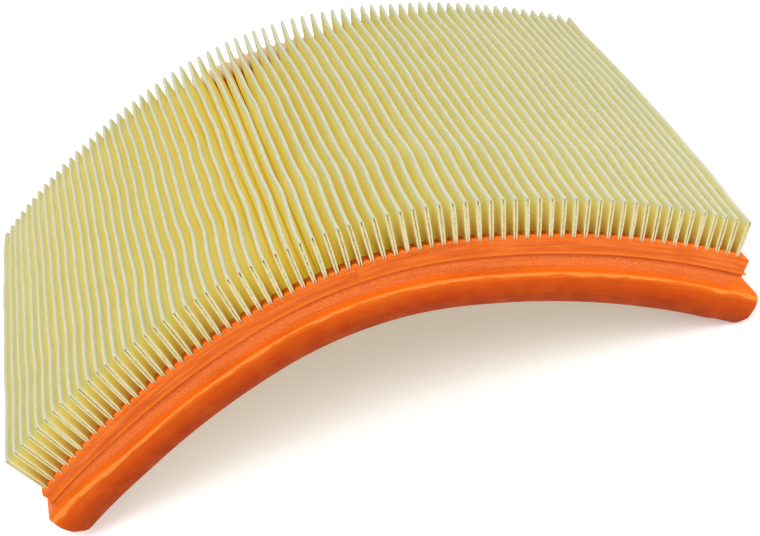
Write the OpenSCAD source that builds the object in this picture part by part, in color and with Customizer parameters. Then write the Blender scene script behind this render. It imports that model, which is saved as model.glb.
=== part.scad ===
// Arched panel air filter: one folded paper pack cast into a soft seal frame.
// The frame is a compound arch, tighter over the crown than over the shoulders.
// +X runs along the chord of the arch, +Y along the pleats, +Z up through the crown.
// The origin is the middle of the footprint, on the plane the two end feet stand on.

/* [Pleats] */
// Number of pleats in the pack
pleat_count = 68; // [20:2:80]
// Distance between neighbouring pleats, measured along the top edge of the frame
pleat_pitch = 3.8; // [3.2:0.1:5]
// Height of a pleat above the top edge of the frame
pleat_height = 15.5; // [8:0.5:24]
// Thickness of the filter paper
paper_t = 0.5; // [0.3:0.05:0.6]
// Thickness of a folded pleat just below its crest
crest_w = 1.3; // [1.05:0.05:1.4]
// Thickness of a folded pleat where it enters the frame
foot_w = 1.3; // [1.2:0.02:1.8]
// Depth of the valley folds below the top edge of the frame
valley_depth = 19.5; // [14:0.5:21]
// How far the last pleat at each end leans towards the crown, in degrees
end_lean = 9.5; // [0:0.5:12]
// Length of the pleats, front edge to rear edge of the pack
pack_w = 164; // [80:1:200]

/* [Arch] */
// Radius of the crown arc, at the top edge of the frame
crown_r = 137; // [110:1:200]
// Angle from the middle of the crown to where the shoulder arcs begin
crown_angle = 15.3; // [8:0.1:20]
// Radius of the two shoulder arcs, at the top edge of the frame
shoulder_r = 260; // [150:5:500]

/* [Seal frame] */
// Depth of the frame, top edge to underside
frame_depth = 23.4; // [22:0.2:30]
// How far the pleat ends are cast into the front and rear rails
embed = 5; // [3:0.5:10]
// How far the upper band stands in front of the pleat ends
band_out = 0.8; // [0.6:0.1:1.2]
// Depth of the raised ridge under the band
ridge_z = 5.1; // [3:0.1:7]
// Height of the ridge
ridge_t = 0.9; // [0.5:0.1:1.5]
// How far the ridge stands in front of the pleat ends
ridge_out = 1.5; // [1.3:0.1:2]
// How far the channel between ridge and lip stands in front of the pleat ends
channel_out = 0.4; // [0.2:0.1:0.5]
// Depth of the top of the sealing lip
lip_z = 11.2; // [9:0.1:13]
// How far the sealing lip stands in front of the pleat ends
lip_out = 2.8; // [2.2:0.1:5]
// How far the band runs past the last pleat
end_band = 3.4; // [2.6:0.1:5]
// How far the sealing lip runs past the last pleat
end_lip = 10; // [8:0.5:14]
// Height of the chamfer under each end of the lip
end_chamfer = 4.9; // [2:0.1:8]
// Radius of the four corners of the sealing lip
corner_r = 3; // [1:0.5:6]

/* [Glue beads] */
// Length of the glue bead between the two layers of a pleat, measured in from the edge
bead_len = 2.5; // [1:0.5:6]
// Distance of the bead's top below the crest of its pleat
bead_drop = 1.6; // [1.2:0.1:4]

/* [Hidden] */
end_s = (pleat_count - 1) / 2 * pleat_pitch;      // arc length from the crown to the last pleat
crown_s = crown_r * crown_angle * PI / 180;       // arc length from the crown to a shoulder
end_angle = arch_angle(end_s);
window_s = end_s - pleat_pitch / 2;               // where the frame's window ends
foot_z = end_drop(end_band + (end_lip - end_band) / 2, frame_depth);
crest_chamfer = 0.3;                              // corner of the crest fold
fold_t = 0.1;                                     // extra paper under the crest fold
valley_w = 0.35;                                  // half width of a valley fold
tail_depth = 8;                                   // how deep the two ends of the sheet run
paper_color = [0.88, 0.84, 0.62];
glue_color = [0.93, 0.92, 0.86];
seal_color = [0.89, 0.36, 0.08];

// Tilt of the arch's normal at arc length s from the crown.
function arch_angle(s) =
    abs(s) <= crown_s
    ? s / crown_r * 180 / PI
    : sign(s) * (crown_angle + (abs(s) - crown_s) / shoulder_r * 180 / PI);

// Centre of the arc that holds arc length s, with the crown's top at z = 0.
function arch_centre(s) =
    abs(s) <= crown_s
    ? [0, -crown_r]
    : [
        sign(s) * (crown_r - shoulder_r) * sin(crown_angle),
        -crown_r + (crown_r - shoulder_r) * cos(crown_angle)
    ];

function arc_radius(s) = abs(s) <= crown_s ? crown_r : shoulder_r;

// Unit vector along a direction tilted by angle a from +Z.
function along(a) = [sin(a), cos(a)];

// Unit vector to the right of the direction tilted by angle a from +Z.
function beside(a) = [cos(a), -sin(a)];

// Point on the top edge of the frame at arc length s.
function foot(s) = arch_centre(s) + arc_radius(s) * along(arch_angle(s));

// How far the point t past the last pleat and n deep lies below the crown's top.
function end_drop(t, n) =
    -(foot(end_s) + t * beside(end_angle) - n * along(end_angle))[1];

// Arc length of pleat i.
function pleat_s(i) = i * pleat_pitch - end_s;

// Tilt of pleat i: the arch's normal, less its lean towards the crown.
function pleat_angle(i) = arch_angle(pleat_s(i)) - end_lean * pleat_s(i) / end_s;

// Point on pleat i: x to its right, z up along the pleat.
function on_pleat(i, x, z) =
    foot(pleat_s(i)) + x * beside(pleat_angle(i)) + z * along(pleat_angle(i));

// Point x to the right and n deep at arc length s.
function below_edge(s, x, n) =
    foot(s) + x * beside(arch_angle(s)) - n * along(arch_angle(s));

// Upper surface of the sheet over pleat i, left to right.
function over_pleat(i) = [
    on_pleat(i, -foot_w / 2, 0),
    on_pleat(i, -crest_w / 2, pleat_height - crest_chamfer),
    on_pleat(i, -crest_w / 2 + crest_chamfer, pleat_height),
    on_pleat(i, crest_w / 2 - crest_chamfer, pleat_height),
    on_pleat(i, crest_w / 2, pleat_height - crest_chamfer),
    on_pleat(i, foot_w / 2, 0)
];

// Lower surface of the sheet inside pleat i, left to right.
function inside_pleat(i) = [
    on_pleat(i, -foot_w / 2 + paper_t, 0),
    on_pleat(i, -crest_w / 2 + paper_t, pleat_height - paper_t - fold_t),
    on_pleat(i, crest_w / 2 - paper_t, pleat_height - paper_t - fold_t),
    on_pleat(i, foot_w / 2 - paper_t, 0)
];

// The valley fold to the right of pleat i, at depth n.
function valley(i, n) = [
    below_edge(pleat_s(i + 0.5), -valley_w, n),
    below_edge(pleat_s(i + 0.5), valley_w, n)
];

// Closed outline of the folded sheet: along the top surface, then back along the underside.
function sheet_outline() = concat(
    [below_edge(-end_s, -foot_w / 2, tail_depth)],
    [for (i = [0:pleat_count - 1], p = i < pleat_count - 1
        ? concat(over_pleat(i), valley(i, valley_depth - paper_t))
        : over_pleat(i)) p],
    [below_edge(end_s, foot_w / 2, tail_depth)],
    [below_edge(end_s, foot_w / 2 - paper_t, tail_depth)],
    reversed([for (i = [0:pleat_count - 1], p = i < pleat_count - 1
        ? concat(inside_pleat(i), valley(i, valley_depth))
        : inside_pleat(i)) p]),
    [below_edge(-end_s, paper_t - foot_w / 2, tail_depth)]
);

function reversed(v) = [for (i = [len(v) - 1:-1:0]) v[i]];

// Line along the arch at depth n, one point at every pleat, left to right.
function arch_line(n) =
    [for (i = [0:pleat_count - 1]) below_edge(pleat_s(i), 0, n)];

// Point p = [distance past the last pleat, depth] on the right (side = 1) or left (side = -1).
function past_end(side, p) =
    let (q = below_edge(end_s, p[0], p[1])) [side * q[0], q[1]];

// Closed outline of a layer of the frame from depth n0 to n1, with the given end points.
function layer_outline(n0, n1, ends) = concat(
    arch_line(n0),
    [for (p = ends) past_end(1, p)],
    reversed(arch_line(n1)),
    [for (p = reversed(ends)) past_end(-1, p)]
);

// Outline of the window, from above the frame to below it.
function window_outline() = concat(
    [below_edge(-window_s, 0, -1)],
    [for (i = [1:pleat_count - 2]) below_edge(pleat_s(i), 0, -1)],
    [below_edge(window_s, 0, -1), below_edge(window_s, 0, frame_depth + 1)],
    [for (i = [pleat_count - 2:-1:1]) below_edge(pleat_s(i), 0, frame_depth + 1)],
    [below_edge(-window_s, 0, frame_depth + 1)]
);

// Square end of a layer, t past the last pleat.
function square_end(t, n0, n1) = [[t, n0], [t, n1]];

// End of the lip layer: a facet slopes down to the lip, and its underside is chamfered.
function lip_end() = [
    [end_band, lip_z],
    [end_band, ridge_z + 1.8],
    [end_lip - 0.5, lip_z - 0.4],
    [end_lip, lip_z + 0.3],
    [end_lip, frame_depth - end_chamfer],
    [(end_band + end_lip) / 2, frame_depth]
];

// Lifts the arch so that its end feet stand on z = 0.
module standing() {
    translate([0, 0, foot_z])
        children();
}

// Runs an outline of X against Z along Y, centred.
module run_along_y(length) {
    rotate([90, 0, 0])
        linear_extrude(height = length, center = true)
            children();
}

// One layer of the frame, standing out in front of the pleat ends by out.
module frame_layer(out, n0, n1, ends) {
    run_along_y(pack_w + 2 * out)
        polygon(layer_outline(n0, n1, ends));
}

// Cuts one square corner of the lip back to a vertical round one; the others mirror it.
module corner_cutter() {
    translate([foot(end_s)[0], 0, foot(end_s)[1]])
        rotate([0, end_angle, 0])
            translate([end_lip - corner_r, pack_w / 2 + lip_out - corner_r, -frame_depth - 1])
                difference() {
                    cube([corner_r + 1, corner_r + 1, frame_depth + 2]);
                    translate([0, 0, -1])
                        cylinder(r = corner_r, h = frame_depth + 4, $fn = 96);
                }
}

// The frame before the pleats are cast in.
module frame_blank() {
    difference() {
        union() {
            frame_layer(channel_out, 0, frame_depth, square_end(end_band, 0, frame_depth));
            frame_layer(band_out, 0, ridge_z, square_end(end_band, 0, ridge_z));
            frame_layer(ridge_out, ridge_z, ridge_z + ridge_t,
                square_end(end_band + ridge_out - band_out, ridge_z, ridge_z + ridge_t));
            frame_layer(lip_out, lip_z, frame_depth, lip_end());
        }
        run_along_y(pack_w - 2 * embed)
            polygon(window_outline());
        for (x = [0, 1], y = [0, 1])
            mirror([x, 0, 0])
                mirror([0, y, 0])
                    corner_cutter();
    }
}

module folded_sheet() {
    run_along_y(pack_w)
        polygon(sheet_outline());
}

// Glue between the two layers of pleat i, in section.
module bead_section(i) {
    top = pleat_height - bead_drop;
    slit_foot = foot_w / 2 - paper_t;
    slit_crest = crest_w / 2 - paper_t;
    rise = top / (pleat_height - paper_t - fold_t);
    slit_top = slit_foot + (slit_crest - slit_foot) * rise;
    polygon([
        on_pleat(i, -slit_foot, 0),
        on_pleat(i, -slit_top, top),
        on_pleat(i, slit_top, top),
        on_pleat(i, slit_foot, 0)
    ]);
}

// One row of glue beads, side = -1 along the front edge and 1 along the rear edge.
module edge_beads(side) {
    translate([0, side * (pack_w - bead_len) / 2, 0])
        for (i = [0:pleat_count - 1])
            run_along_y(bead_len)
                bead_section(i);
}

module pleated_media() {
    color(paper_color)
        standing()
            folded_sheet();
}

module front_edge_beads() {
    color(glue_color)
        standing()
            edge_beads(-1);
}

module rear_edge_beads() {
    color(glue_color)
        standing()
            edge_beads(1);
}

module seal_frame() {
    color(seal_color)
        standing()
            difference() {
                frame_blank();
                folded_sheet();
            }
}

pleated_media();
front_edge_beads();
rear_edge_beads();
seal_frame();
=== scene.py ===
"""Arched panel air filter: folded paper, glue seams and a moulded seal frame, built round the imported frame.

Sizes are in millimetres in the row frame and become metres when a mesh is made. A place on the arch is given
by its arc length s from the crown, its y, and its depth n below the top edge of the seal frame.
"""

import math

import bpy
import numpy as np
from mathutils import Matrix, Vector


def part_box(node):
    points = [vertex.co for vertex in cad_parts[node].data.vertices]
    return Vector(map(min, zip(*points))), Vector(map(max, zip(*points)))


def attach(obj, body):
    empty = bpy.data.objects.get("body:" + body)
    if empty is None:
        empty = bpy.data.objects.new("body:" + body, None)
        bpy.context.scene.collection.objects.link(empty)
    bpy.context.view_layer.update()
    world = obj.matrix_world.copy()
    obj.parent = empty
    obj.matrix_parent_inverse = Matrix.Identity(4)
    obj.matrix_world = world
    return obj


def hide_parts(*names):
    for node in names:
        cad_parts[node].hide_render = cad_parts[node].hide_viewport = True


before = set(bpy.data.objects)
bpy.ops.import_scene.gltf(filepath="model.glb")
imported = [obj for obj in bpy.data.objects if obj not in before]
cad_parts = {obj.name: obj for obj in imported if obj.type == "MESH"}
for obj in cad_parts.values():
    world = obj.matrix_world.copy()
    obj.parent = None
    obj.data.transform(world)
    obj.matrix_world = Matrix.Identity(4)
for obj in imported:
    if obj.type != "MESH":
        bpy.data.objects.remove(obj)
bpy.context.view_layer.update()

MM = 0.001
rng = np.random.default_rng(68)

# ---------------------------------------------------------------- driving sizes

PLEATS = 68
PITCH = 3.8
PAPER_T = 0.5
PLEAT_H = 15.5  # height of the crests above the seal frame
VALLEY_N = 19.5  # depth of the lower folds inside it
SEAL_DEPTH = 23.4
EMBED = 5.0  # how far the pleat ends are cast into the seal frame
LEAN_LEFT = math.radians(8.3)  # lean of the two end pleats towards the crown
LEAN_RIGHT = math.radians(10.8)
CROWN_R = 137.0  # radius of the arch up to CROWN_ANGLE each side of the crown
CROWN_ANGLE = math.radians(15.3)
SHOULDER_R = 260.0  # radius beyond it

CROWN_S = CROWN_R * CROWN_ANGLE
END_S = (PLEATS - 1) / 2 * PITCH  # arc length from the crown to the last pleat
HALF_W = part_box("pleated_media")[1].y / MM
CROWN_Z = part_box("pleated_media")[1].z / MM - PLEAT_H


def pleat_s(i):
    """Arc length from the crown to pleat i."""
    return (i - (PLEATS - 1) / 2) * PITCH


def arch_angle(s):
    """Tilt of the arch's normal at arc length s, in radians."""
    on_crown = np.clip(s, -CROWN_S, CROWN_S)
    return on_crown / CROWN_R + (s - on_crown) / SHOULDER_R


def arch_point(s, n):
    """X and Z of the point n deep at arc length s. Past the last pleat the arch runs straight on."""
    on_arch = np.clip(s, -END_S, END_S)
    angle = arch_angle(on_arch)
    shoulder = np.abs(on_arch) > CROWN_S
    radius = np.where(shoulder, SHOULDER_R, CROWN_R)
    centre = CROWN_R - radius
    past = s - on_arch
    x = np.sign(on_arch) * centre * math.sin(CROWN_ANGLE) + (radius - n) * np.sin(angle)
    z = CROWN_Z - CROWN_R + centre * math.cos(CROWN_ANGLE) + (radius - n) * np.cos(angle)
    return x + past * np.cos(angle), z - past * np.sin(angle)


def pleat_lean(s):
    """How far the pleat at s leans to the right of the arch's normal: always towards the crown."""
    share = np.sqrt(np.abs(s) / END_S)
    return np.where(s < 0, LEAN_LEFT, -LEAN_RIGHT) * share


def pleat_point(s, x, z):
    """X and Z of the point x to the right of the middle of the pleat at s and z up along it."""
    foot_x, foot_z = arch_point(s, 0.0)
    tilt = arch_angle(s) + pleat_lean(s)
    return foot_x + x * np.cos(tilt) + z * np.sin(tilt), foot_z - x * np.sin(tilt) + z * np.cos(tilt)


# ---------------------------------------------------------------- smooth curves and random fields

KNOT_SWING = 1.7  # range of the random knots that makes a field reach about 1


def spline_weights(places, knots):
    """Weights of a cubic B-spline's knots at each place, one row a place."""
    gap = np.abs(places[:, None] - np.arange(knots)[None])
    near = 2 / 3 - gap**2 + gap**3 / 2
    far = np.clip(2 - gap, 0, None) ** 3 / 6
    return np.where(gap < 1, near, far)


def ripple(across, along, across_cell, along_cell):
    """A field of about -1 to 1 over across and along, smooth over cells of the given sizes."""
    rows = across / across_cell - (across / across_cell).min() + 1
    columns = along / along_cell - (along / along_cell).min() + 1
    knots = rng.uniform(-KNOT_SWING, KNOT_SWING, (int(rows.max()) + 3, int(columns.max()) + 3))
    return spline_weights(rows, knots.shape[0]) @ knots @ spline_weights(columns, knots.shape[1]).T


def hump(x, centre, width):
    """A smooth bump of height 1."""
    return np.exp(-(((x - centre) / width) ** 2))


def ease(x, low, high):
    """0 below low, 1 above high, smooth between."""
    t = np.clip((x - low) / (high - low), 0, 1)
    return t * t * (3 - 2 * t)


# ---------------------------------------------------------------- meshes


def quad_mesh(name, points, quads, fields, materials, face_materials=None):
    """An object from points in millimetres and quads, smooth, with a float attribute for each field."""
    mesh = bpy.data.meshes.new(name)
    mesh.vertices.add(len(points))
    mesh.vertices.foreach_set("co", (points * MM).astype(np.float32).ravel())
    mesh.loops.add(quads.size)
    mesh.loops.foreach_set("vertex_index", quads.astype(np.int32).ravel())
    mesh.polygons.add(len(quads))
    mesh.polygons.foreach_set("loop_start", np.arange(0, quads.size, 4, dtype=np.int32))
    mesh.polygons.foreach_set("use_smooth", np.ones(len(quads), bool))
    for material in materials:
        mesh.materials.append(material)
    if face_materials is not None:
        mesh.polygons.foreach_set("material_index", face_materials.astype(np.int32))
    for field, values in fields.items():
        attribute = mesh.attributes.new(field, "FLOAT", "POINT")
        attribute.data.foreach_set("value", values.astype(np.float32).ravel())
    mesh.update(calc_edges=True)
    mesh.validate()
    obj = bpy.data.objects.new(name, mesh)
    bpy.context.scene.collection.objects.link(obj)
    return obj


def grid_quads(rows, columns, close_rows=False, close_columns=False):
    """Quads over points numbered row by row. A closed direction joins its last line to its first."""
    r = np.arange(rows if close_rows else rows - 1)[:, None]
    c = np.arange(columns if close_columns else columns - 1)[None]
    right, below = (c + 1) % columns, (r + 1) % rows
    corners = [r * columns + c, r * columns + right, below * columns + right, below * columns + c]
    return np.stack(np.broadcast_arrays(*corners), -1).reshape(-1, 4)


def mark_sharp(obj, angle):
    """Edges between faces that turn by more than angle stay crisp."""
    obj.data.set_sharp_from_angle(angle=math.radians(angle))


# ---------------------------------------------------------------- folded paper

# Half the distance between the middles of a pleat's two layers.
LEG_FOOT = 0.38  # pressed together at the cut edges: at the foot,
LEG_CREST = 0.43  # at the crest,
LEG_SWELL = 0.12  # and the extra half-way up
OPEN_FOOT = 1.38  # standing open further in: at the foot

OPEN_FRONT = (3.0, 15.0)  # distances from the cut edge where the layers start to part and stand fully open
OPEN_REAR = (-1.5, 6.0)
FRONT_WANDER = 3.0  # how much those distances vary from pleat to pleat
REAR_WANDER = 0.8

LEG_Z = [0.0, 1.5, 4.0, 7.0, 10.0, 12.5, 14.1]  # heights of the points on a layer
CREST_R = 0.43
CREST_TURNS = range(-90, 91, 45)
VALLEY_R = 0.32
VALLEY_TURNS = (-60, 0, 60)
VALLEY_STEPS = [0.22, 0.48, 0.74, 0.93]  # places of the points between a pleat's foot and the fold below it
TAIL_N = 8.0  # depth at which the sheet ends before the first pleat and after the last
STATION = 2.6  # distance between cross-sections
END_STATIONS = [0.0, 0.5, 1.2, 2.2, 3.6, 5.4]  # places of the closer ones at each cut edge

# Bends that all pleats share: how far to the right, where from front (0) to rear (1), and how wide.
SHARED_BENDS = [
    (0.62, 0.22, 0.065),
    (0.36, 0.38, 0.16),
    (0.36, 0.60, 0.07),
    (-0.16, 0.05, 0.05),
    (-0.85, 0.90, 0.10),
]
END_BOW = 1.4  # sideways bow of the first and the last pleat
LAST_PLEAT_SHIFT = 0.5
FRONT_SKEW = -0.18  # extra height of the last pleat at the front edge, as a share of PLEAT_H
REAR_SKEW = 0.30  # and at the rear edge; the first pleat has the opposite

# Painted light: the paper's emission stands in for light let through the paper and filling the shaded gaps;
# its strength is 1 over most of the upper side.
RAIL_SHADE = 14.0  # distance from a cut edge over which the walls between pleat ends get less painted light: painted shade
# share of the painted light taken away near the rails: painted shade
RAIL_PAINTED_SHADE = 0.8
LEFT_PAINTED_LIGHT = 0.2  # more painted light at the left end
RIGHT_PAINTED_SHADE = 0.15  # less painted light from the crown to the right: painted shade
OPEN_WALL_PAINTED_GLOW = 0.35  # painted light on the outer walls of the first and the last pleat
# painted light on the underside of the sheet
UNDERSIDE_PAINTED_GLOW = 0.2


def pleat_stations():
    """Y of the sheet's cross-sections, closer together at the two cut edges."""
    front = -HALF_W + np.array(END_STATIONS)
    inner = HALF_W - END_STATIONS[-1]
    middle = np.linspace(-inner, inner, int(round(2 * inner / STATION)) + 1)
    return np.concatenate([front[:-1], middle, -front[:-1][::-1]])


def pleat_shape(y):
    """How each pleat strays from its straight place at each station.

    sway is how far its crest moves to the right, belly its middle, swell how much thicker it is half-way up,
    rise how much taller it is, all in millimetres, and spread how far its layers stand open. The pack is
    skewed in its frame: taller at the front left and rear right, lower at the other two corners. The bends
    are held back at the cut edges, which are cast in, and the pleats near the crown are the loosest.
    """
    i = np.arange(PLEATS, dtype=float)
    v = (y + HALF_W) / (2 * HALF_W)
    side = (2 * i / (PLEATS - 1) - 1)[:, None]
    held = 0.25 + 0.75 * ease(v, 0, 0.12) * ease(1 - v, 0, 0.10)
    loose = hump(i, 31, 13)[:, None]
    shared = sum(size * hump(v, place, width) for size, place, width in SHARED_BENDS) * (1 + 0.4 * loose)
    sway = 0.18 * ripple(i, y, 6, 26) + 0.28 * ripple(i, y, 1.2, 13)
    pinch = hump(i, 32.5, 4.5)[:, None] * hump(v, 0.22, 0.14)[None]
    sway += 0.6 * pinch * ripple(i, y, 1.3, 20)
    sway = shared + sway * held + END_BOW * np.sign(side) * np.abs(side) ** 5 * np.sin(math.pi * v)
    sway += 0.12 * rng.uniform(-1, 1, (PLEATS, 1))
    sway[-1] += LAST_PLEAT_SHIFT
    belly = (0.12 + 0.30 * loose) * ripple(i, y, 1.6, 13) * held
    swell = 0.05 * ripple(i, y, 1.1, 24)
    rise = 0.12 * ripple(i, y, 1.5, 26) + 0.06 * rng.uniform(-1, 1, (PLEATS, 1)) - 0.12
    rise += PLEAT_H * side * (FRONT_SKEW + (REAR_SKEW - FRONT_SKEW) * v)
    start, full = (np.where(y < 0, front, rear) for front, rear in zip(OPEN_FRONT, OPEN_REAR))
    inward = HALF_W - np.abs(y) + np.where(y < 0, FRONT_WANDER, REAR_WANDER) * ripple(i, y, 1.2, 30)
    spread = ease(inward, start, full) * (1 + 0.10 * ripple(i, y, 1.5, 18))
    return {"sway": sway, "belly": belly, "swell": swell, "rise": rise, "spread": spread}


def leg_width(z, spread=0.0):
    """Half the distance between the middles of a pleat's two layers, z above the frame.

    The layers are pressed together at spread = 0 and stand open like a tent at spread = 1.
    """
    pressed = LEG_FOOT + (LEG_CREST - LEG_FOOT) * z / PLEAT_H + LEG_SWELL * math.sin(math.pi * z / PLEAT_H)
    tent = OPEN_FOOT + (LEG_CREST - OPEN_FOOT) * z / PLEAT_H
    return pressed + (tent - pressed) * spread


def on_bent_pleat(i, x, z, shape):
    """The point x to the right and z up on pleat i, at every station, after the pleat has strayed."""
    t = max(z, 0.0) / PLEAT_H
    strayed = shape["sway"][i] * t**1.3 + shape["belly"][i] * math.sin(math.pi * min(t, 1))
    return pleat_point(pleat_s(i), x + strayed, z + shape["rise"][i] * t)


def sheet_line(shape):
    """The middle of the sheet, left to right: X, Z and height of each point at every station."""
    line = []

    def add(point, height):
        line.append((point[0], point[1], np.full(shape["sway"].shape[1], height)))

    def add_straight(i, point, height):
        add([c + 0 * shape["sway"][i] for c in point], height)

    def leg(i, side, upward):
        for z in LEG_Z if upward else LEG_Z[::-1]:
            swell = shape["swell"][i] * math.sin(math.pi * z / PLEAT_H)
            add(on_bent_pleat(i, side * (leg_width(z, shape["spread"][i]) + swell), z, shape), z)

    def crest(i):
        for turn in CREST_TURNS:
            a = math.radians(turn)
            z = PLEAT_H - PAPER_T / 2 - CREST_R * (1 - math.cos(a))
            add(on_bent_pleat(i, CREST_R * math.sin(a), z, shape), z)

    def hidden_leg(i, side, upward):
        foot = on_bent_pleat(i, side * leg_width(0, shape["spread"][i]), 0, shape)
        fold_n = VALLEY_N - PAPER_T / 2 - VALLEY_R
        fold = arch_point(pleat_s(i) + side * (PITCH / 2 - VALLEY_R), fold_n)
        for step in VALLEY_STEPS[::-1] if upward else VALLEY_STEPS:
            add([f + (g - f) * step for f, g in zip(foot, fold)], -fold_n * step)

    def tail(i, side):
        add_straight(i, arch_point(pleat_s(i) + side * LEG_FOOT, TAIL_N), -TAIL_N)

    def valley(i):
        for turn in VALLEY_TURNS:
            a = math.radians(turn)
            n = VALLEY_N - PAPER_T / 2 - VALLEY_R * (1 - math.cos(a))
            add_straight(i, arch_point(pleat_s(i + 0.5) + VALLEY_R * math.sin(a), n), -n)

    tail(0, -1)
    for i in range(PLEATS):
        leg(i, -1, True)
        crest(i)
        leg(i, 1, False)
        if i < PLEATS - 1:
            hidden_leg(i, 1, False)
            valley(i)
            hidden_leg(i + 1, -1, True)
    tail(PLEATS - 1, 1)
    x, z, height = (np.array(part).T for part in zip(*line))
    return x, z, height


def sheet_points(x, y, z):
    """The sheet's two surfaces side by side in each row, upper then lower, with slightly frayed cut edges."""
    run_x, run_z = np.gradient(x, axis=1), np.gradient(z, axis=1)
    length = np.hypot(run_x, run_z)
    side_x, side_z = -run_z / length, run_x / length
    rows, columns = x.shape
    fray = np.zeros((rows, 2 * columns))
    fray[0], fray[-1] = rng.normal(0, 0.05, (2, 2 * columns))
    jag = 0.12 * ripple(np.arange(2.0), np.arange(columns, dtype=float), 1, 40)
    fray[0] += np.tile(jag[0], 2)
    across = np.broadcast_to(y[:, None], x.shape)
    layers = []
    for half in (PAPER_T / 2, -PAPER_T / 2):
        layers.append(np.stack([x + half * side_x, across, z + half * side_z], -1))
    points = np.concatenate(layers, axis=1)
    points[..., 1] += fray
    return points.reshape(-1, 3)


def sheet_quads(rows, columns):
    """Faces of the closed sheet, and 1 for each face of a cut edge, which come last."""
    grid = grid_quads(rows, 2 * columns)
    column = grid[:, 0] % (2 * columns)
    upper = grid[column < columns - 1]
    lower = grid[(column >= columns) & (column < 2 * columns - 1)][:, ::-1]
    quads = [upper, lower]
    r = np.arange(rows - 1)[:, None] * 2 * columns
    for c, flip in ((0, False), (columns - 1, True)):
        rim = np.concatenate([r + c, r + 2 * columns + c, r + 3 * columns + c, r + columns + c], axis=1)
        quads.append(rim[:, ::-1] if flip else rim)
    c = np.arange(columns - 1)[:, None]
    for row, flip in ((0, False), (rows - 1, True)):
        start = row * 2 * columns + c
        cap = np.concatenate([start, start + columns, start + columns + 1, start + 1], axis=1)
        quads.append(cap[:, ::-1] if flip else cap)
    quads = np.concatenate(quads)
    cut = np.zeros(len(quads), int)
    cut[-2 * (columns - 1) :] = 1
    return quads, cut


def paper_fields(x, y, height):
    """What the paper's material reads: height, nearness to a rail low down, and how much painted light the
    paper's emission adds.
    """
    near_rail = (1 - ease(HALF_W - np.abs(y), 0, RAIL_SHADE))[:, None] * (1 - np.clip(height / PLEAT_H, 0, 1))
    # Painted light and shade in the glow: less near the rails low down and right of the crown, more at the
    # left end.
    dimmed = RIGHT_PAINTED_SHADE * ease(x, -18, 2) * (1 - 0.6 * ease(x, 45, 95))
    upper_painted_glow = (1 - RAIL_PAINTED_SHADE * near_rail) * (1 + LEFT_PAINTED_LIGHT * ease(-x, 50, 115) - dimmed)
    open_wall = 1 + len(LEG_Z)
    upper_painted_glow[:, :open_wall] *= OPEN_WALL_PAINTED_GLOW
    upper_painted_glow[:, -open_wall:] *= OPEN_WALL_PAINTED_GLOW
    return {
        "height": np.tile(height, 2),
        "near_rail": np.tile(near_rail, 2),
        "glow": np.concatenate([upper_painted_glow, np.full(height.shape, UNDERSIDE_PAINTED_GLOW)], axis=1),
    }


def folded_paper(materials):
    """One closed sheet: its middle line thickened both ways, with its two cut edges filled."""
    y = pleat_stations()
    shape = pleat_shape(y)
    x, z, height = sheet_line(shape)
    quads, cut = sheet_quads(*x.shape)
    obj = quad_mesh("pleated_paper", sheet_points(x, y, z), quads, paper_fields(x, y, height), materials, cut)
    mark_sharp(obj, 60)
    return obj, shape


# ---------------------------------------------------------------- glue between the two layers of a pleat

GLUE_STEPS = 12
GLUE_FOOT = 0.2
GLUE_TOP = PLEAT_H - 1.7
GLUE_LENGTH = 2.5
GLUE_PINCH = 0.35  # width of a seam's two ends, as a share of the slit
GLUE_OVERLAP = 0.05  # how far a seam runs into each layer of paper
GLUE_RING = 6  # points round a seam


def glue_row(name, side, shape, material):
    """The row of glue seams along one cut edge, side = -1 at the front and 1 at the rear."""
    station = 0 if side < 0 else -1
    points, quads = [], []
    for i in range(PLEATS):
        start = len(points)
        depth = rng.uniform(0.0, 0.5)
        for step in range(GLUE_STEPS + 1):
            z = GLUE_FOOT + (GLUE_TOP - GLUE_FOOT) * step / GLUE_STEPS
            pinch = GLUE_PINCH if step in (0, GLUE_STEPS) else 1
            half = pinch * (leg_width(z) - PAPER_T / 2 + GLUE_OVERLAP)
            recess = depth + rng.uniform(-0.08, 0.25)
            length = GLUE_LENGTH + rng.uniform(-0.4, 0.4)
            outer = [(-half, recess), (0, recess - 0.1), (half, recess)]
            inner = [(half, length), (0, length + 0.1), (-half, length)]
            for x, inward in outer + inner:
                place = on_bent_pleat(i, x, z, shape)
                points.append((place[0][station], side * (HALF_W - inward), place[1][station]))
        quads.append(start + grid_quads(GLUE_STEPS + 1, GLUE_RING, close_columns=True))
        for base, flip in ((start, True), (start + GLUE_STEPS * GLUE_RING, False)):
            ends = np.array([[0, 1, 4, 5], [1, 2, 3, 4]]) + base
            quads.append(ends[:, ::-1] if flip else ends)
    quads = np.concatenate(quads)
    if side > 0:
        quads = quads[:, ::-1]
    obj = quad_mesh(name, np.array(points), quads, {}, [material])
    mark_sharp(obj, 70)
    return obj


# ---------------------------------------------------------------- seal frame


class Corner:
    """A corner of the seal's section.

    out and depth place it along the two rails, from the pleat ends and from the seal's top edge; past and
    end_depth place it at the two ends, from the last pleat, as one number for both or a pair: left, right.
    fillet rounds the section there, and plan_r the turn from rail to end. rim is how much of the scallops
    between the pleats it takes up, and film how much of the film drawn up between the rear pleat ends.
    """

    def __init__(self, out, past, depth, end_depth=None, fillet=0.3, plan_r=0.6, rim=0.0, film=0.0):
        ends = np.broadcast_to(past, 2), np.broadcast_to(depth if end_depth is None else end_depth, 2)
        self.place = np.array([out, depth, plan_r, rim, film, *ends[0], *ends[1]])
        self.fillet = fillet


INNER_PAST = -PITCH / 2
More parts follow.
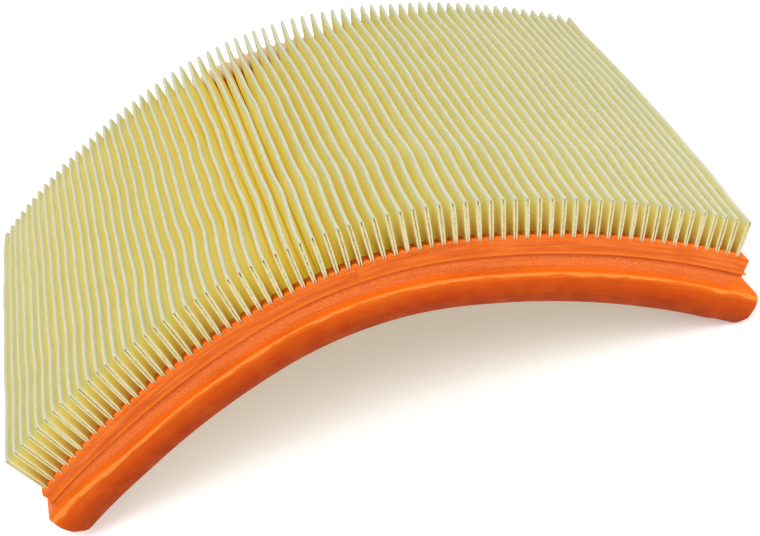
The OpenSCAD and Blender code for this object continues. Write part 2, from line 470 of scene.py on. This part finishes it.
# Round the section from the bottom of the inner wall: over the scalloped rim, down the band to the ridge,
# into the channel, out to the shoulder and down the lip.
SECTION = [
    Corner(-EMBED, INNER_PAST, SEAL_DEPTH, fillet=0.6),
    Corner(-EMBED, INNER_PAST, 0.25, fillet=0.7),
    Corner(-1.2, 1.2, 0.1, fillet=0.4, rim=0.6),
    Corner(-0.5, 1.6, 0.0, fillet=0.2, rim=0.8, film=1.0),
    Corner(0.35, (2.4, 3.6), -0.25, fillet=0.3, rim=1.0, film=1.0),
    Corner(0.85, (2.9, 4.6), 0.35, fillet=0.4, rim=0.7),
    Corner(0.9, (3.0, 4.8), 4.5, end_depth=(3.0, 4.5), fillet=0.3),
    Corner(1.75, (4.2, 5.7), 5.1, end_depth=(3.9, 5.1), fillet=0.35),
    Corner(0.35, (4.3, 5.2), 5.8, end_depth=(4.8, 5.8), fillet=0.2),
    Corner(0.45, (4.9, 5.4), 8.0, end_depth=(5.6, 6.6), fillet=0.8),
    Corner(0.6, (5.6, 5.8), 10.8, end_depth=(6.1, 7.1), fillet=0.5, plan_r=1.0),
    Corner(2.75, (9.7, 13.3), 11.2, end_depth=(7.3, 10.9), fillet=0.45, plan_r=2.0),
    Corner(3.05, (10.6, 14.8), 14.5, end_depth=(12.5, 14.5), fillet=1.4, plan_r=2.2),
    Corner(2.7, (10.2, 14.6), 19.5, end_depth=(17.0, 19.6), fillet=1.2, plan_r=2.2),
    Corner(0.9, (7.8, 12.4), SEAL_DEPTH, end_depth=(22.0, 23.0), fillet=1.0, plan_r=2.0),
]
FILLET_STEPS = 3


def rounded_section():
    """The section's points, with each corner turned into a short curve."""
    points = []
    for k, corner in enumerate(SECTION):
        sides = []
        for other in (SECTION[k - 1], SECTION[(k + 1) % len(SECTION)]):
            run = other.place - corner.place
            reach = min(corner.fillet / math.hypot(run[0], run[1]), 0.45)
            sides.append(corner.place + reach * run)
        for step in range(FILLET_STEPS + 1):
            t = step / FILLET_STEPS
            points.append((1 - t) ** 2 * sides[0] + 2 * t * (1 - t) * corner.place + t * t * sides[1])
    return np.array(points)


BUMP_OFFSETS = [-0.5, -0.41, -0.33, -0.26, -0.2, -0.16, 0.0, 0.16, 0.2, 0.26, 0.33, 0.41]  # in pitches
ZONE_S = END_S + PITCH / 2  # where the scallops stop
WOBBLE = 0.07  # unevenness of the casting
CORNER_STEPS = 6
END_STEPS = 40
# Where depth starts to turn into end_depth and where it has, from the last pleat: left end, right end.
END_RUN = ((-34.0, 9.0), (0.5, 4.0))


def scallop(offset):
    """Height of the rim at an offset in pitches from a pleat: bumps between the pleats, a notch at each."""
    u = np.abs(offset)
    bump = 1.05 * ease(u, 0.15, 0.34) - 0.2 * ease(u, 0.38, 0.5)
    return bump - 0.75 * (1 - ease(u, 0.14, 0.2))


def rail_places():
    """Arc lengths of the cross-sections from the crown to the last pleat."""
    places = [(i + 0.5 + offset) * PITCH for i in range(PLEATS // 2) for offset in BUMP_OFFSETS]
    return np.array(places + [ZONE_S])


FILM_H = 5.0  # height of the film in the middle of a gap
FILM_HOLLOW = 18.0  # how steeply it climbs towards the pleats
FILM_VARIETY = rng.uniform(0.85, 1.15, PLEATS // 2 + 1)


def film_rise(rail, offset):
    """Height of the film of casting between two rear pleat ends: a hollow curve from pleat to pleat."""
    curve = FILM_H + FILM_HOLLOW * (0.5 - offset) ** 2
    gap = np.round(rail / PITCH).astype(int)
    return curve * FILM_VARIETY[gap] * ease(offset, 0.155, 0.2) * (rail < END_S)


def seal_quarter(corner, end, rear):
    """A corner's line from the crown to the middle of an end, 0 left or 1 right: s, y, depth and film."""
    out, depth, plan_r, rim, film = corner[:5]
    past, end_depth = corner[5:7][end], corner[7:9][end]
    half_s, half_y = END_S + past, HALF_W + out
    rail = rail_places()
    offset = (rail / PITCH + 0.5) % 1
    offset = np.minimum(offset, 1 - offset)
    fan = np.linspace(0, math.pi / 2, CORNER_STEPS + 1)
    reach = half_s - plan_r
    scale = min(1, (reach - 0.5) / ZONE_S)
    steps = np.linspace(rail[-1] * scale, reach, 5)[1:-1]
    across = np.linspace(half_y - plan_r, 0, END_STEPS // 2 + 1)[1:]
    s = np.concatenate([rail * scale, steps, reach + plan_r * np.sin(fan), np.full(len(across), half_s)])
    along_rail = np.full(len(rail) + len(steps), half_y)
    y = np.concatenate([along_rail, half_y - plan_r * (1 - np.cos(fan)), across])
    drawn = np.zeros(len(s))
    if rear:
        drawn[: len(rail)] = film * film_rise(rail, offset)
    lift = drawn.copy()
    lift[: len(rail)] += rim * scallop(offset)
    n = depth + (end_depth - depth) * ease(s - END_S, *END_RUN[end]) - lift
    side = 1 if end else -1
    s = side * s + drawn * np.tan(pleat_lean(side * s))
    return np.stack([s, y if rear else -y, n, drawn], -1)


def seal_loops(section):
    """One closed loop round the four sides for each point of the section."""
    loops = []
    for corner in section:
        left, right = (
            np.concatenate([seal_quarter(corner, end, False), seal_quarter(corner, end, True)[-2::-1]])
            for end in (0, 1)
        )
        loops.append(np.concatenate([right, left[-2:0:-1]]))
    return np.array(loops)


def seal_frame(material):
    """The moulded frame: its section carried round the pack, with the unevenness of a soft casting."""
    section = rounded_section()
    loops = seal_loops(section)
    rows, columns = loops.shape[:2]
    s, y, n = loops[..., 0], loops[..., 1], loops[..., 2]
    middle = loops[rows // 2, :, :2]
    around = np.cumsum(np.hypot(*np.diff(middle, axis=0, prepend=middle[:1]).T))
    wobble = WOBBLE * ripple(np.arange(rows, dtype=float), around, 4, 9)
    wobble += (wobble[:, :1] - wobble[:, -1:]) * ease(around, around[-1] - 30, around[-1])
    grow = wobble * ease(section[:, 0], -0.5, 0.6)[:, None]
    s = s + np.sign(s) * grow * (np.abs(s) > ZONE_S)
    y = y + np.sign(y) * grow * (np.abs(s) <= ZONE_S)
    x, z = arch_point(s, n)
    points = np.stack([x, y, z], -1).reshape(-1, 3)
    quads = grid_quads(rows, columns, close_rows=True, close_columns=True)[:, ::-1]
    film_paleness = 0.3 + 0.7 * ease(-section[:, :1], -0.35, 0.5)
    fields = {
        "depth": np.broadcast_to(section[:, 1:2], (rows, columns)),
        "film": loops[..., 3] / FILM_H * film_paleness,
        "level": n * MM,
        "run": np.broadcast_to(around * MM, (rows, columns)),
    }
    return quad_mesh("seal_frame_moulded", points, quads, fields, [material])


# ---------------------------------------------------------------- materials


def colour(red, green, blue):
    """Linear colour from the 0 to 255 values a screen shows."""
    linear = [((c / 255 + 0.055) / 1.055) ** 2.4 if c > 10 else c / 3295 for c in (red, green, blue)]
    return (*linear, 1.0)


class Shader:
    """A small helper that adds and joins the nodes of one material."""

    def __init__(self, name):
        self.material = bpy.data.materials.new(name)
        self.material.use_nodes = True
        self.tree = self.material.node_tree
        self.surface = self.tree.nodes["Principled BSDF"]
        self.coords = self.node("ShaderNodeTexCoord").outputs["Object"]

    def node(self, kind, inputs=None, **settings):
        made = self.tree.nodes.new(kind)
        for key, value in settings.items():
            setattr(made, key, value)
        for key, value in (inputs or {}).items():
            self.feed(value, made.inputs[key])
        return made

    def feed(self, value, socket):
        if isinstance(value, bpy.types.NodeSocket):
            self.tree.links.new(value, socket)
        else:
            socket.default_value = value

    def field(self, name):
        return self.node("ShaderNodeAttribute", attribute_name=name).outputs["Fac"]

    def noise(self, size, detail=2.0, stretch=(1, 1, 1), seed=(0, 0, 0), turn=(0, 0, 0), coords=None):
        """Noise whose features are about size millimetres across, before stretch and turn."""
        placed = {"Vector": coords or self.coords, "Scale": stretch, "Location": seed, "Rotation": turn}
        mapping = self.node("ShaderNodeMapping", placed)
        scale = {"Vector": mapping.outputs["Vector"], "Scale": 1 / (size * MM), "Detail": detail}
        return self.node("ShaderNodeTexNoise", scale).outputs["Fac"]

    def ramp(self, value, stops):
        """Colours, or plain numbers, that value runs through."""
        made = self.node("ShaderNodeValToRGB", {"Fac": value})
        elements = made.color_ramp.elements
        while len(elements) < len(stops):
            elements.new(0.5)
        for element, (place, shade) in zip(elements, stops):
            element.position = place
            element.color = shade if isinstance(shade, tuple) else (shade, shade, shade, 1)
        return made.outputs["Color"]

    def between(self, value, low, high, to_low=0.0, to_high=1.0):
        """value carried from low..high to to_low..to_high, and held beyond."""
        spans = {"From Min": low, "From Max": high, "To Min": to_low, "To Max": to_high}
        return self.node("ShaderNodeMapRange", {"Value": value, **spans}).outputs["Result"]

    def mix(self, share, a, b, blend="MIX"):
        made = self.node("ShaderNodeMix", data_type="RGBA", blend_type=blend)
        self.feed(share, made.inputs[0])
        self.feed(a, made.inputs[6])
        self.feed(b, made.inputs[7])
        return made.outputs[2]

    def combine(self, operation, a, b):
        made = self.node("ShaderNodeMath", operation=operation)
        self.feed(a, made.inputs[0])
        self.feed(b, made.inputs[1])
        return made.outputs["Value"]

    def sum(self, a, b):
        return self.combine("ADD", a, b)

    def product(self, a, b):
        return self.combine("MULTIPLY", a, b)

    def bump(self, height, distance, strength=1.0):
        """Relief of the given distance in millimetres."""
        inputs = {"Height": height, "Distance": distance * MM, "Strength": strength}
        return self.node("ShaderNodeBump", inputs).outputs["Normal"]

    def finish(self, **inputs):
        for key, value in inputs.items():
            self.feed(value, self.surface.inputs[key.replace("_", " ")])
        return self.material


def paper_material():
    """Resin-treated filter paper: fibres and a few specks, with painted light in the colour: pale crests as a
    painted highlight, deeper yellow towards the valleys as painted shade, and a painted glow.
    """
    shader = Shader("filter_paper")
    height = shader.between(shader.field("height"), -VALLEY_N, PLEAT_H)
    # Painted light and shade by height: the pale crest is a painted highlight and the deeper yellow low down
    # is painted shade.
    tint = shader.ramp(height, [
        (0.0, colour(186, 166, 66)),
        (0.55, colour(208, 190, 88)),
        (0.80, colour(212, 203, 120)),
        (0.925, colour(212, 206, 138)),
        (0.96, colour(214, 214, 180)),
        (1.0, colour(217, 220, 204)),
    ])
    cloud = shader.noise(9, 3)
    fibres = shader.noise(0.9, 4, stretch=(1, 0.25, 1))
    grain = shader.noise(0.25, 2)
    tint = shader.mix(shader.between(cloud, 0.35, 0.7, 0, 0.18), tint, colour(240, 236, 200))
    tint = shader.mix(shader.between(fibres, 0.3, 0.75, 0.0, 0.16), tint, colour(205, 176, 96), "MULTIPLY")
    specks = shader.between(shader.noise(0.7, 1, seed=(3, 1, 2)), 0.79, 0.82)
    tint = shader.mix(shader.product(specks, 0.5), tint, colour(120, 100, 60))
    # Painted bounce light: the low paper near the rails turns orange, as if lit by the orange seal frame.
    tint = shader.mix(shader.between(shader.field("near_rail"), 0.2, 1.0, 0, 0.6), tint, colour(214, 140, 50))
    creases = shader.noise(3.0, 2, stretch=(0.3, 1, 0.2), turn=(0.7, 0, 0))
    relief = shader.sum(shader.product(fibres, 0.7), shader.product(grain, 0.3))
    relief = shader.sum(relief, shader.product(creases, 2.5))
    normal = shader.bump(relief, 0.12, 0.5)
    # Painted light: the emission colour, deeper yellow and stronger towards the valleys and none at the
    # crest, fills the shade in the gaps; the glow field sets its strength.
    glow = shader.ramp(height, [
        (0.0, colour(140, 118, 10)),
        (0.45, colour(168, 146, 38)),
        (0.75, colour(178, 163, 84)),
        (0.92, colour(164, 156, 92)),
        (1.0, colour(20, 20, 12)),
    ])
    material = shader.finish(Base_Color=tint, Roughness=0.85, Normal=normal, Emission_Color=glow,
                             Emission_Strength=shader.field("glow"))
    shader.surface.inputs["Specular IOR Level"].default_value = 0.15
    through = shader.node("ShaderNodeBsdfTranslucent", {"Color": tint, "Normal": normal})
    blend = shader.node("ShaderNodeMixShader", {0: 0.3, 1: shader.surface.outputs[0], 2: through.outputs[0]})
    shader.tree.links.new(blend.outputs[0], shader.tree.nodes["Material Output"].inputs["Surface"])
    return material


def cut_material():
    """The cut edge of the paper: paler and fuzzy, greyer at the crest."""
    shader = Shader("filter_paper_cut")
    height = shader.field("height")
    fuzz = shader.noise(0.35, 3)
    tint = shader.mix(shader.between(fuzz, 0.35, 0.7), colour(190, 180, 130), colour(208, 201, 162))
    at_crest = shader.between(height, PLEAT_H - 1.3, PLEAT_H - 0.5, 0, 0.45)
    tint = shader.mix(at_crest, tint, colour(150, 148, 128))
    at_foot = shader.between(height, 2.5, 0.0, 0, 0.35)
    tint = shader.mix(at_foot, tint, colour(240, 190, 150))
    return shader.finish(Base_Color=tint, Roughness=0.95, Normal=shader.bump(fuzz, 0.2, 0.6))


def glue_material():
    """Hot melt: off-white, granular, slightly waxy."""
    shader = Shader("hot_melt")
    grains = shader.noise(0.4, 3)
    tint = shader.mix(shader.between(grains, 0.35, 0.65), colour(176, 166, 118), colour(208, 202, 166))
    shader.surface.inputs["Subsurface Weight"].default_value = 0.2
    shader.surface.inputs["Subsurface Radius"].default_value = (0.0006, 0.0006, 0.0004)
    return shader.finish(Base_Color=tint, Roughness=0.45, Normal=shader.bump(grains, 0.25, 0.8))


def seal_material():
    """Moulded polyurethane: a streaked band, a ridge with a painted highlight, a sandy channel and a smooth
    satin lip, with painted light and shade in the colour.
    """
    shader = Shader("polyurethane")
    depth = shader.between(shader.field("depth"), -0.5, SEAL_DEPTH)
    # Painted light and shade in the ramp: a painted highlight on the rim top (0.0), on the ridge (0.235) and
    # along the shoulder (0.475), a painted shadow line under the ridge (0.265), the channel lightened against
    # the ridge's shadow, and painted shade darkening the lip towards its bottom (from 0.55).
    tint = shader.ramp(depth, [
        (0.0, colour(238, 120, 22)),
        (0.05, colour(202, 88, 12)),
        (0.19, colour(196, 84, 12)),
        (0.235, colour(216, 108, 18)),
        (0.265, colour(184, 64, 8)),
        (0.33, colour(224, 112, 44)),
        (0.44, colour(224, 112, 42)),
        (0.475, colour(224, 102, 4)),
        (0.505, colour(214, 102, 14)),
        (0.55, colour(204, 88, 6)),
        (0.61, colour(184, 68, 1)),
        (0.70, colour(168, 57, 1)),
        (0.82, colour(146, 44, 2)),
        (1.0, colour(130, 37, 2)),
    ])
    sand = shader.noise(0.5, 3)
    flow = shader.node("ShaderNodeCombineXYZ", {0: shader.field("run"), 1: shader.field("level")})
    streaks = shader.noise(1.0, 3, stretch=(0.07, 1, 1), coords=flow.outputs["Vector"])
    veins = shader.noise(2.4, 3, stretch=(0.06, 1, 1), seed=(1, 0, 0), coords=flow.outputs["Vector"])
    cloud = shader.noise(7, 3)
    in_band = shader.ramp(depth, [(0.0, 0.3), (0.06, 1.0), (0.18, 1.0), (0.22, 0.1), (1.0, 0.1)])
    in_channel = shader.ramp(depth, [(0.26, 0.0), (0.3, 1.0), (0.44, 1.0), (0.47, 0.12), (1.0, 0.12)])
    tint = shader.mix(shader.between(cloud, 0.3, 0.75, 0, 0.25), tint, colour(214, 104, 30))
    speckle = shader.product(shader.between(sand, 0.5, 0.36, 0, 0.5), in_channel)
    tint = shader.mix(speckle, tint, colour(160, 52, 14))
    dust = shader.product(shader.between(shader.noise(0.3, 2), 0.54, 0.66, 0, 0.45), in_channel)
    tint = shader.mix(dust, tint, colour(232, 150, 100))
    smear = shader.product(shader.between(streaks, 0.42, 0.62, 0, 0.45), in_band)
    tint = shader.mix(smear, tint, colour(230, 126, 54))
    tint = shader.mix(shader.between(veins, 0.5, 0.36, 0, 0.22), tint, colour(150, 44, 8))
    ragged = shader.between(shader.noise(8, 3, seed=(5, 0, 0)), 0.3, 0.7, -0.025, 0.035)
    flash = shader.between(shader.sum(depth, ragged), 0.545, 0.535, 0, 0.65)
    flash = shader.product(flash, shader.between(depth, 0.49, 0.503))
    tint = shader.mix(flash, tint, colour(226, 138, 62))
    tint = shader.mix(shader.between(shader.field("film"), 0.02, 0.5, 0, 0.92), tint, colour(236, 218, 208))
    relief = shader.sum(shader.product(sand, in_channel), shader.product(streaks, in_band))
    normal = shader.bump(relief, 0.35, 0.7)
    roughness = shader.between(in_channel, 0.12, 1.0, 0.42, 0.75)
    shader.feed(shader.between(depth, 0.44, 0.56, 0.11, 0.04), shader.surface.inputs["Specular IOR Level"])
    shader.surface.inputs["Subsurface Weight"].default_value = 0.15
    shader.surface.inputs["Subsurface Radius"].default_value = (0.003, 0.0012, 0.0004)
    # Painted light: the film glows pale so that it stays bright in the shaded gap between the rear pleat
    # ends.
    film_painted_glow = shader.between(shader.field("film"), 0.05, 0.8, 0, 0.4)
    return shader.finish(Base_Color=tint, Roughness=roughness, Normal=normal, Emission_Strength=film_painted_glow,
                         Emission_Color=colour(222, 212, 208))


# ---------------------------------------------------------------- stage, light and camera


def floor_material():
    """Matt white, with a little light of its own so that it stays pale to the edges of the view."""
    shader = Shader("studio_floor")
    mottle = shader.noise(300, 1)
    tint = shader.mix(shader.between(mottle, 0, 1, 0, 0.3), colour(250, 250, 250), colour(244, 244, 246))
    glow = colour(255, 253, 250)
    return shader.finish(Base_Color=tint, Roughness=0.9, Emission_Color=glow, Emission_Strength=0.3)


def add_floor(size, level):
    """A square floor; size and level are in metres."""
    mesh = bpy.data.meshes.new("studio_floor")
    half = size / 2
    corners = [(-half, -half, level), (half, -half, level), (half, half, level), (-half, half, level)]
    mesh.from_pydata(corners, [], [(0, 1, 2, 3)])
    mesh.materials.append(floor_material())
    floor = bpy.data.objects.new("studio_floor", mesh)
    bpy.context.scene.collection.objects.link(floor)


def add_softbox(name, place, target, size, power):
    """A square lamp, size metres wide, that faces target."""
    light = bpy.data.lights.new(name, "AREA")
    light.size = size
    light.energy = power
    lamp = bpy.data.objects.new(name, light)
    lamp.location = place
    lamp.rotation_euler = (Vector(target) - Vector(place)).to_track_quat("-Z", "Y").to_euler()
    bpy.context.scene.collection.objects.link(lamp)


def add_world(strength):
    """Even light from all round: grey up to the horizon, turning white towards the top."""
    world = bpy.data.worlds.new("studio")
    world.use_nodes = True
    tree = world.node_tree
    background = tree.nodes["Background"]
    background.inputs["Strength"].default_value = strength
    direction = tree.nodes.new("ShaderNodeTexCoord").outputs["Generated"]
    split = tree.nodes.new("ShaderNodeSeparateXYZ")
    ramp = tree.nodes.new("ShaderNodeValToRGB")
    tree.links.new(direction, split.inputs[0])
    tree.links.new(split.outputs["Z"], ramp.inputs["Fac"])
    tree.links.new(ramp.outputs["Color"], background.inputs["Color"])
    horizon, sky = ramp.color_ramp.elements
    horizon.color = (0.45, 0.45, 0.45, 1)
    sky.color = (1, 1, 1, 1)
    sky.position = 0.7
    bpy.context.scene.world = world


CAMERA_FROM_CROWN = (-0.03208, -0.46852, 0.25268)  # in metres, from the crown of the seal frame
CAMERA_LENS = 70.0
CAMERA_SHIFT = 0.3002  # sideways, in widths of the view
CAMERA_ELEVATION = math.radians(30.61)
CAMERA_AZIMUTH = math.radians(4.0)
CAMERA_ROLL = math.radians(-21.04)


def add_camera():
    """In front of the arch, above it, and rolled. The shift belongs to that place alone, so it is driven."""
    crown = Vector((0, 0, CROWN_Z * MM))
    camera = bpy.data.objects.new("camera", bpy.data.cameras.new("camera"))
    camera.data.lens = CAMERA_LENS
    camera.data.clip_start = 0.02
    camera.location = crown + Vector(CAMERA_FROM_CROWN)
    turn = Matrix.Rotation(CAMERA_AZIMUTH, 4, "Z") @ Matrix.Rotation(math.pi / 2 - CAMERA_ELEVATION, 4, "X")
    camera.rotation_euler = (turn @ Matrix.Rotation(CAMERA_ROLL, 4, "Z")).to_euler()
    bpy.context.scene.collection.objects.link(camera)
    viewpoint = bpy.data.objects.new("viewpoint", None)
    viewpoint.location = camera.location
    bpy.context.scene.collection.objects.link(viewpoint)
    driver = camera.data.driver_add("shift_x").driver
    away = driver.variables.new()
    away.name = "away"
    away.type = "LOC_DIFF"
    away.targets[0].id = camera
    away.targets[1].id = viewpoint
    driver.expression = f"{CAMERA_SHIFT} if away < 0.001 else 0"
    bpy.context.scene.camera = camera


# ---------------------------------------------------------------- the scene

paper, paper_shape = folded_paper([paper_material(), cut_material()])
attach(paper, "root")
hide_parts("pleated_media")

GLUE_ROWS = [("glue_front", "front_edge_beads", -1), ("glue_rear", "rear_edge_beads", 1)]
glue = glue_material()
for piece, node, side in GLUE_ROWS:
    beads = glue_row(piece, side, paper_shape, glue)
    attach(beads, "root")
    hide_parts(node)

seal = seal_frame(seal_material())
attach(seal, "root")
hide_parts("seal_frame")

lowest = min(vertex.co.z for vertex in seal.data.vertices)
add_floor(size=6.0, level=min(0.0, lowest))
add_world(strength=0.95)
aim = (0, 0, CROWN_Z * MM)
add_softbox("key", (-0.5, -0.5, 1.1), aim, size=0.8, power=6.5)
add_softbox("fill", (0.9, -0.7, 0.6), aim, size=0.8, power=5.5)
add_camera()
# Light bounces many times in the narrow gaps between pleats.
bpy.context.scene.cycles.max_bounces = 24
bpy.context.scene.cycles.diffuse_bounces = 16
bpy.context.scene.cycles.transmission_bounces = 16
bpy.context.scene.view_settings.view_transform = "Standard"
